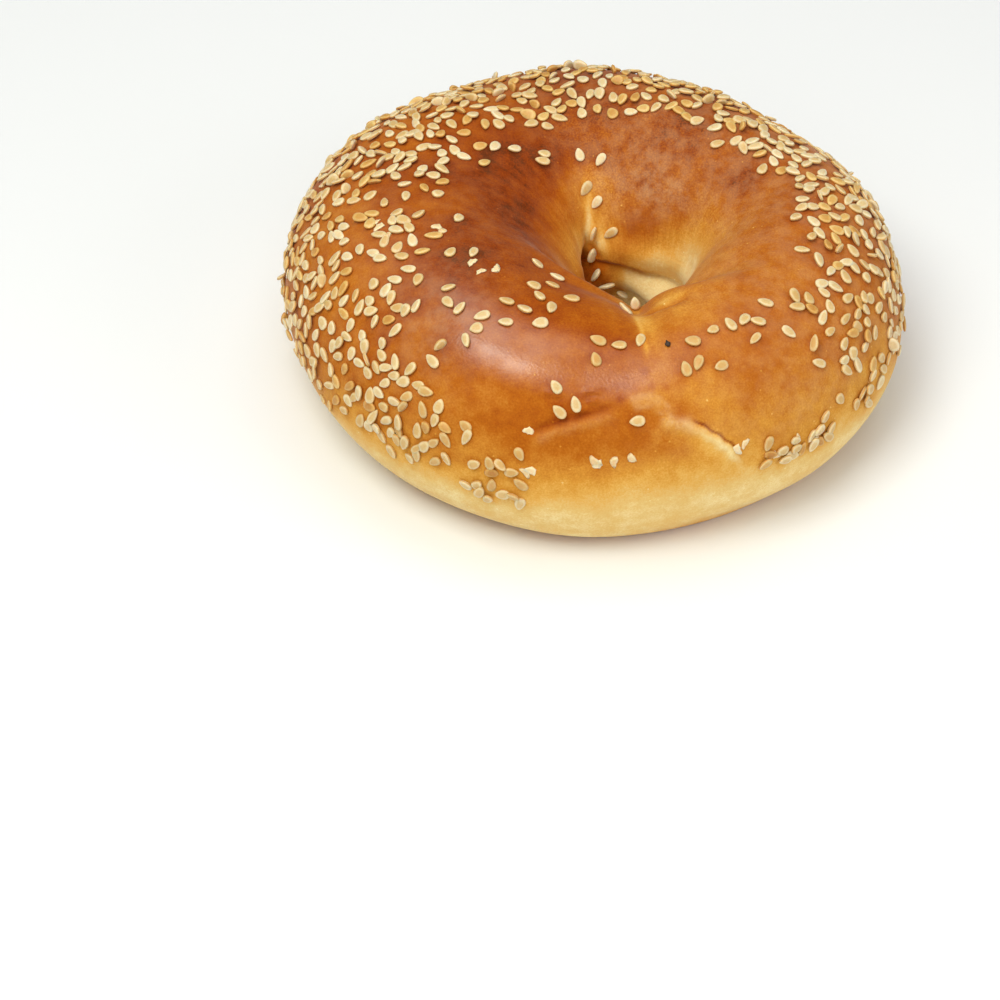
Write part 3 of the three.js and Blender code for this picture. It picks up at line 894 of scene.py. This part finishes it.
def lie_flat(draws, places, sizes):
    """Centres and axes of things that lie on the crust, each turned at random."""
    points, side, normal = crust_frame(*places.T)
    along = turned(side, normal, draws.uniform(0, 360, len(places)))
    axes = np.stack([np.cross(along, normal), along, normal], 1)
    return points + normal * (sizes[:, 2:] / 2 - SEED_SUNK), axes


def build_bits(draws, bit_material, crumb_material):
    places = np.array(BITS, float)
    sizes = draws.uniform(BIT_SMALLEST, BIT_LARGEST, (len(places), 3))
    tone = draws.random(len(places))
    join_seeds("seed_bits", *lie_flat(draws, places, sizes), sizes, tone, bit_material, BIT_BUMPS, BIT_BEND)
    place, size = np.array([CRUMB["at"]]), np.array([CRUMB["size"]])
    join_seeds("burnt_crumb", *lie_flat(draws, place, size), size, np.zeros(1), crumb_material, BIT_BUMPS)


# Materials
def srgb(red, green, blue):
    """A colour named by its screen values, as the light values that a shader takes."""
    def light(value):
        value /= 255
        return value / 12.92 if value <= 0.04045 else ((value + 0.055) / 1.055) ** 2.4
    return (light(red), light(green), light(blue), 1)


# Colours by their place on a ramp, as screen values of red, green and blue
CRUST_RAMP = (
    (0.0, 248, 228, 170), (0.1, 232, 195, 121), (0.2, 226, 172, 84),
    (0.32, 212, 148, 56), (0.46, 194, 122, 40), (0.6, 178, 98, 20),
    (0.75, 158, 76, 14), (0.9, 134, 55, 11), (1.0, 96, 42, 12),
)
PALE_RAMP = ((0.0, 204, 154, 80), (0.35, 210, 176, 114), (0.65, 222, 199, 152), (1.0, 233, 219, 184))
TOASTED_RAMP = ((0.0, 180, 118, 42), (0.5, 208, 160, 82), (1.0, 228, 198, 132))
BIT_RAMP = ((0.0, 212, 172, 118), (0.5, 230, 200, 152), (1.0, 240, 222, 182))
BURNT_RAMP = ((0.3, 24, 16, 12), (0.7, 62, 40, 24))
# The colour of the dust and of the painted sheen
DUST_AND_SHEEN_COLOUR = srgb(232, 206, 162)

# Noise of the crust: its size, detail and roughness, how far it sways the browning, and what ranges map to
GRAIN_STRETCH = 0.0018
COARSE = (4, 0.6)
STREAK = {"noise": (0.07, 5, 0.68), "sway": 0.4}
BLOTCHES = {9 * MM: 0.46, 2.4 * MM: 0.26}
MOTTLE = {"size": 0.35 * MM, "sway": 0.38}
SPECKS = {"apart": 2.4 * MM, "radius": 0.26 * MM, "core": 0.4, "share": 0.5, "paler": 0.2, "rise": 0.5}
EVEN_WHERE_PALE = (0.05, 0.4, 0.45, 1)
DUST_AND_SHEEN_NOISE = {"size": 3 * MM, "range": (0.35, 0.65, 0.3, 1.6)}
DULL = {"range": (0, 1, 0.58, 0.42), "size": 3 * MM, "sway": 0.12}
COAT = {"size": 4 * MM, "range": (0.3, 0.6, 0.6, 1)}
RELIEF = {"sizes": (0.5 * MM, 2.5 * MM), "torn_size": 1.1 * MM, "torn": 8, "height": 0.25 * MM}
BUMPS = {"Normal": 0.45, "Coat Normal": 0.2}
CRUST_FINISH = {
    "Coat Roughness": 0.32, "Coat IOR": 1.8, "Specular IOR Level": 0.04,
    "Sheen Weight": 0.15, "Sheen Roughness": 0.3,
    "Subsurface Weight": 0.06, "Subsurface Radius": (1.0, 0.5, 0.2), "Subsurface Scale": 1.5 * MM,
}

# Seeds: how their colour runs from the middle to the rim, and their fine grain
SEED_TONE = {"least": 0.28, "more": 0.42}
SEED_BAND_PALE = (0.35, 0.72, 0, 0.32)
# The darker edge: partly browned, partly painted shade
SEED_EDGE_BROWN_AND_SHADE = (0.84, 1, 0, 0.6)
SEED_GRAIN = {"noise": (0.3 * MM, 4, 0.7), "sway": 0.6, "pores": 0.25 * MM, "bump": 0.25, "height": 0.1 * MM}
SEED_FINISH = {
    "Roughness": 0.45,
    "Subsurface Weight": 0.4, "Subsurface Radius": (1.0, 0.7, 0.4), "Subsurface Scale": 0.5 * MM,
}
BURNT_GRAIN = {"size": 0.4 * MM, "bump": 0.4, "height": 0.1 * MM}
BURNT_FINISH = {"Roughness": 0.6}


def new_material(name, finish):
    """A material with plain values on its shader."""
    material = bpy.data.materials.new(name)
    material.use_nodes = True
    tree = material.node_tree
    shader = tree.nodes["Principled BSDF"]
    for socket, level in finish.items():
        shader.inputs[socket].default_value = level
    return material, tree, shader


def add_node(tree, kind, inputs=None, **settings):
    """A node with its settings, its plain input values, and links from other nodes' outputs."""
    made = tree.nodes.new(kind)
    for name, value in settings.items():
        setattr(made, name, value)
    for name, value in (inputs or {}).items():
        if isinstance(value, bpy.types.NodeSocket):
            tree.links.new(value, made.inputs[name])
        else:
            made.inputs[name].default_value = value
    return made


def add_place(tree):
    return add_node(tree, "ShaderNodeTexCoord").outputs["Object"]


def add_attribute(tree, name, output="Fac"):
    return add_node(tree, "ShaderNodeAttribute", attribute_name=name).outputs[output]


def add_noise(tree, place, size, detail=3.0, roughness=0.5):
    inputs = {"Vector": place, "Scale": 1 / size, "Detail": detail, "Roughness": roughness}
    return add_node(tree, "ShaderNodeTexNoise", inputs).outputs["Fac"]


def add_math(tree, operation, result, *others):
    """A chain of nodes that applies one operation to values in turn."""
    for other in others:
        made = add_node(tree, "ShaderNodeMath", {0: result, 1: other}, operation=operation)
        result = made.outputs[0]
    return result


def sway(tree, amount, *noise):
    """A noise as a change of at most half the amount either way."""
    centred = add_math(tree, "SUBTRACT", add_noise(tree, *noise), 0.5)
    return add_math(tree, "MULTIPLY", centred, amount)


def add_range(tree, value, low, high, to_low, to_high):
    inputs = {"Value": value, "From Min": low, "From Max": high, "To Min": to_low, "To Max": to_high}
    return add_node(tree, "ShaderNodeMapRange", inputs, interpolation_type="SMOOTHSTEP").outputs["Result"]


def add_ramp(tree, value, stops):
    made = add_node(tree, "ShaderNodeValToRGB", {"Fac": value})
    elements = made.color_ramp.elements
    while len(elements) < len(stops):
        elements.new(0.5)
    for element, (position, *colour) in zip(elements, stops):
        element.position = position
        element.color = srgb(*colour)
    return made.outputs["Color"]


def add_mix(tree, share, first, second):
    """A mix of two colours. The node's first input is the share, and its last two are the colours."""
    return add_node(tree, "ShaderNodeMix", {0: share, 6: first, 7: second}, data_type="RGBA").outputs[2]


def add_specks(tree, place):
    """Small dots: 1 in a dot, 0 elsewhere, with one dot or none in each cell."""
    radius = SPECKS["radius"] / SPECKS["apart"]
    cells = add_node(tree, "ShaderNodeTexVoronoi", {"Vector": place, "Scale": 1 / SPECKS["apart"]})
    picked = add_math(tree, "GREATER_THAN", cells.outputs["Color"], SPECKS["share"])
    dot = add_range(tree, cells.outputs["Distance"], SPECKS["core"] * radius, radius, 1, 0)
    return add_math(tree, "MULTIPLY", picked, dot)


def add_bump(tree, shader, socket, height, strength, distance):
    bump = add_node(tree, "ShaderNodeBump", {"Height": height, "Strength": strength, "Distance": distance})
    tree.links.new(bump.outputs["Normal"], shader.inputs[socket])


def crust_level(tree, place, specks):
    """How brown each spot is, painted light and shade included: streaks up the slopes, blotches, fine
    mottling and pale specks.
    """
    browned = add_attribute(tree, "browning_light_and_shade")
    streak = sway(tree, STREAK["sway"], add_attribute(tree, "grain", "Vector"), *STREAK["noise"])
    streak = add_math(tree, "MULTIPLY", streak, add_attribute(tree, "streaks"))
    blotches = [sway(tree, amount, place, size, *COARSE) for size, amount in BLOTCHES.items()]
    mottle = sway(tree, MOTTLE["sway"], place, MOTTLE["size"], *COARSE)
    mottle = add_math(tree, "SUBTRACT", mottle, add_math(tree, "MULTIPLY", specks, SPECKS["paler"]))
    mottle = add_math(tree, "MULTIPLY", mottle, add_attribute(tree, "mottling"))
    uneven = add_math(tree, "ADD", streak, *blotches, mottle)
    uneven = add_math(tree, "MULTIPLY", uneven, add_range(tree, browned, *EVEN_WHERE_PALE))
    return add_math(tree, "ADD", browned, uneven)


def crust_colour(tree, place, specks):
    """The colour of the browning, under patchy dust and painted sheen."""
    dusted_and_sheened = add_range(tree, add_noise(tree, place, DUST_AND_SHEEN_NOISE["size"], *COARSE), *DUST_AND_SHEEN_NOISE["range"])
    dusted_and_sheened = add_math(tree, "MULTIPLY", dusted_and_sheened, add_attribute(tree, "dust_and_sheen"))
    return add_mix(tree, dusted_and_sheened, add_ramp(tree, crust_level(tree, place, specks), CRUST_RAMP), DUST_AND_SHEEN_COLOUR)


def crust_relief(tree, place, specks):
    """The height of pores, dimples and specks, and of rough dough where the crust is torn."""
    pores = [add_noise(tree, place, size) for size in RELIEF["sizes"]]
    raised = add_math(tree, "MULTIPLY", specks, SPECKS["rise"])
    torn = add_noise(tree, place, RELIEF["torn_size"], *COARSE)
    torn = add_math(tree, "MULTIPLY", torn, add_attribute(tree, "dust_and_sheen"), RELIEF["torn"])
    return add_math(tree, "ADD", *pores, raised, torn)


def crust_material():
    """Crust with a glaze, glossy where the glaze was brushed on thick."""
    material, tree, shader = new_material("crust", CRUST_FINISH)
    place = add_place(tree)
    specks = add_specks(tree, place)
    tree.links.new(crust_colour(tree, place, specks), shader.inputs["Base Color"])
    glaze = add_attribute(tree, "gloss")
    dull = add_range(tree, glaze, *DULL["range"])
    dull = add_math(tree, "ADD", dull, sway(tree, DULL["sway"], place, DULL["size"]))
    tree.links.new(dull, shader.inputs["Roughness"])
    patchy = add_range(tree, add_noise(tree, place, COAT["size"]), *COAT["range"])
    tree.links.new(add_math(tree, "MULTIPLY", glaze, patchy), shader.inputs["Coat Weight"])
    relief = crust_relief(tree, place, specks)
    for socket, strength in BUMPS.items():
        add_bump(tree, shader, socket, relief, strength, RELIEF["height"])
    return material


def burnt_material():
    """A burnt crumb, nearly black, mottled and dull."""
    material, tree, shader = new_material("burnt", BURNT_FINISH)
    place = add_place(tree)
    mottle = add_noise(tree, place, BURNT_GRAIN["size"])
    tree.links.new(add_ramp(tree, mottle, BURNT_RAMP), shader.inputs["Base Color"])
    add_bump(tree, shader, "Normal", mottle, BURNT_GRAIN["bump"], BURNT_GRAIN["height"])
    return material


def seed_material(name, ramp):
    """Hulled seeds: a pale band inside a darker edge, partly browned and partly painted shade, and no two of
    quite the same colour.
    """
    material, tree, shader = new_material(name, SEED_FINISH)
    place = add_place(tree)
    rim = add_attribute(tree, "rim")
    tone = add_math(tree, "MULTIPLY", add_attribute(tree, "tone"), SEED_TONE["more"])
    grain = sway(tree, SEED_GRAIN["sway"], place, *SEED_GRAIN["noise"])
    level = add_math(tree, "ADD", tone, SEED_TONE["least"], add_range(tree, rim, *SEED_BAND_PALE), grain)
    level = add_math(tree, "SUBTRACT", level, add_range(tree, rim, *SEED_EDGE_BROWN_AND_SHADE))
    tree.links.new(add_ramp(tree, level, ramp), shader.inputs["Base Color"])
    pores = add_noise(tree, place, SEED_GRAIN["pores"])
    add_bump(tree, shader, "Normal", pores, SEED_GRAIN["bump"], SEED_GRAIN["height"])
    return material


# Light, floor and camera
CAMERA_ELEVATION = 40
CAMERA_DISTANCE = 0.64
TARGET_PIXEL = (586.5, 298.3)
FRAME_PIXELS = 1000
FOCAL_PIXELS = 3308.8
SENSOR = 36
CLIP_START = 0.01
FLOOR_HALF = 2.0
FLOOR_FINISH = {"Base Color": (0.86, 0.89, 0.94, 1), "Roughness": 0.7}
SURROUND = 0.27
LAMPS = {
    "key": {"place": (-0.19, -0.23, 0.63), "size": (0.36, 0.34), "watts": 2.75, "colour": (1, 0.99, 0.86)},
    "overhead": {"place": (0.02, 0.16, 0.68), "size": (0.6, 0.3), "watts": 1.2, "colour": (1, 0.96, 0.88)},
    "front": {"place": (-0.2, -0.8, 0.85), "size": (1.1, 0.8), "watts": 3.6, "colour": (1, 0.96, 0.88)},
    "fill": {"place": (0.6, -0.3, 0.3), "size": (0.5, 0.5), "watts": 1.3, "colour": (1, 0.97, 0.92)},
}


def aim(thing, place, target):
    thing.location = place
    thing.rotation_euler = (Vector(target) - Vector(place)).to_track_quat("-Z", "Y").to_euler()


def build_camera():
    """A camera whose frame shows the ring's middle at the target pixel."""
    data = bpy.data.cameras.new("camera")
    data.sensor_width = SENSOR
    data.lens = FOCAL_PIXELS / FRAME_PIXELS * SENSOR
    data.clip_start = CLIP_START
    camera = link("camera", data)
    target = Vector((RING_MIDDLE + (0, 0, WAIST_HEIGHT)) * MM)
    tilt = math.radians(CAMERA_ELEVATION)
    aim(camera, target + CAMERA_DISTANCE * Vector((0, -math.cos(tilt), math.sin(tilt))), target)
    turn, nod = (math.atan((pixel - FRAME_PIXELS / 2) / FOCAL_PIXELS) for pixel in TARGET_PIXEL)
    look = camera.rotation_euler.to_matrix()
    shifted = look @ Matrix.Rotation(turn, 3, "Y") @ Matrix.Rotation(nod, 3, "X")
    camera.rotation_euler = shifted.to_euler()
    bpy.context.scene.camera = camera


def build_floor():
    material, _, _ = new_material("floor", FLOOR_FINISH)
    mesh = bpy.data.meshes.new("floor")
    low, high = -FLOOR_HALF, FLOOR_HALF
    mesh.from_pydata([(low, low, 0), (high, low, 0), (high, high, 0), (low, high, 0)], [], [(0, 1, 2, 3)])
    mesh.materials.append(material)
    link("floor", mesh)


def build_light():
    """An even pale surround and soft lights: two above, one in front and a weak one on the right."""
    world = bpy.data.worlds.new("surround")
    world.use_nodes = True
    inputs = world.node_tree.nodes["Background"].inputs
    inputs["Color"].default_value = (1, 1, 1, 1)
    inputs["Strength"].default_value = SURROUND
    bpy.context.scene.world = world
    for name, lamp in LAMPS.items():
        data = bpy.data.lights.new(name, "AREA")
        data.energy = lamp["watts"]
        data.color = lamp["colour"]
        data.shape = "RECTANGLE"
        data.size, data.size_y = lamp["size"]
        aim(link(name, data), lamp["place"], (0, 0, WAIST_HEIGHT * MM))
    bpy.context.scene.view_settings.view_transform = "Standard"


build_camera()
build_light()
build_floor()
draws = np.random.default_rng(DRAW_SEED)
places, points = seed_places(draws)
build_crust(crust_material(), points)
pale, toasted = seed_material("sesame_pale", PALE_RAMP), seed_material("sesame_toasted", TOASTED_RAMP)
build_seeds(draws, places, points, pale, toasted)
build_bits(draws, seed_material("sesame_broken", BIT_RAMP), burnt_material())
